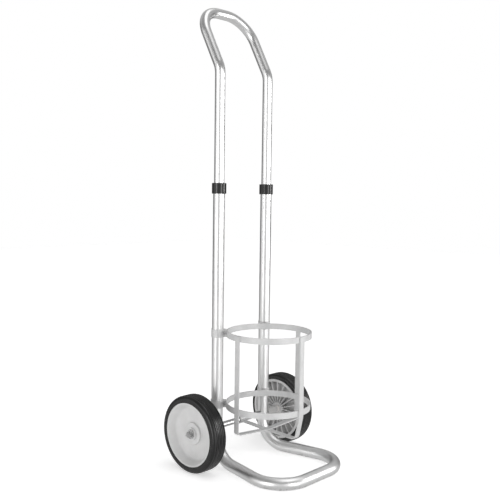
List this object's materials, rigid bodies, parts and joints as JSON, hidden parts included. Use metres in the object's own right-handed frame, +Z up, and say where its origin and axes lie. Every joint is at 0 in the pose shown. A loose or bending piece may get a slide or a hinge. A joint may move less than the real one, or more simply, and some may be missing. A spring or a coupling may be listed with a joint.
{
  "type": "upright hand cart",
  "caption": "Upright push cart with a round basket holder, bent tube foot, telescoping loop handle and rubber tyred wheels.",
  "frame": {"origin": "on the ground, at the middle of the outline in X and Y", "axes": "+Z up; -Y is the front, where the foot and the basket are; +Y is the side of the person pulling; +X is the cart's right wheel"},
  "size_m": [0.322, 0.3182, 1.0073],
  "materials": {
    "tube_aluminium": "satin anodised tube",
    "collar_plastic": "semi-gloss black moulding",
    "basket_paint": "matte silver-grey powder coat",
    "fastener_zinc": "bright zinc plate",
    "spring_steel": "tempered strip",
    "axle_steel": "drawn rod",
    "spacer_plastic": "light grey moulding",
    "bush_nylon": "natural nylon",
    "wheel_plastic": "light grey moulding",
    "tyre_rubber": "moulded solid rubber"
  },
  "bodies": {
    "frame": {"frame_tube": "tube_aluminium", "collar_left": "collar_plastic", "collar_right": "collar_plastic", "ring_upper": "basket_paint", "ring_lower": "basket_paint", "strap_side": "basket_paint", "strap_front": "basket_paint", "clamp_upper_left": "basket_paint", "clamp_upper_right": "basket_paint", "clamp_lower_left": "basket_paint", "clamp_lower_right": "basket_paint", "clamp_screws": "fastener_zinc", "clamp_nuts": "fastener_zinc", "axle": "axle_steel", "spacer_left": "spacer_plastic", "spacer_right": "spacer_plastic", "washer_left": "fastener_zinc", "washer_right": "fastener_zinc", "split_pin_left": "fastener_zinc", "split_pin_right": "fastener_zinc"},
    "handle": {"handle_tube": "tube_aluminium", "lock_spring": "spring_steel"},
    "lock_button": {"lock_button": "fastener_zinc"},
    "left_wheel": {"wheel_left": "wheel_plastic", "tyre_left": "tyre_rubber", "hub_bushing_left": "bush_nylon"},
    "right_wheel": {"wheel_right": "wheel_plastic", "tyre_right": "tyre_rubber", "hub_bushing_right": "bush_nylon"}
  },
  "joints": [
    {"name": "handle_slide", "type": "slide", "parent": "frame", "child": "handle", "axis": [0, 0, 1], "range_m": [-0.22, 0], "deforming": ["lock_button"]},
    {"name": "button_press", "type": "slide", "parent": "handle", "child": "lock_button", "axis": [0, -1, 0], "range_m": [0, 0.0052], "stiffness_N_per_m": 900, "springref_m": -0.003, "deforming": ["lock_spring"]},
    {"name": "left_wheel_spin", "type": "hinge", "parent": "frame", "child": "left_wheel", "pos_m": [-0.142, 0.07555, 0.08255], "axis": [1, 0, 0], "continuous": true},
    {"name": "right_wheel_spin", "type": "hinge", "parent": "frame", "child": "right_wheel", "pos_m": [0.142, 0.07555, 0.08255], "axis": [1, 0, 0], "continuous": true}
  ]
}
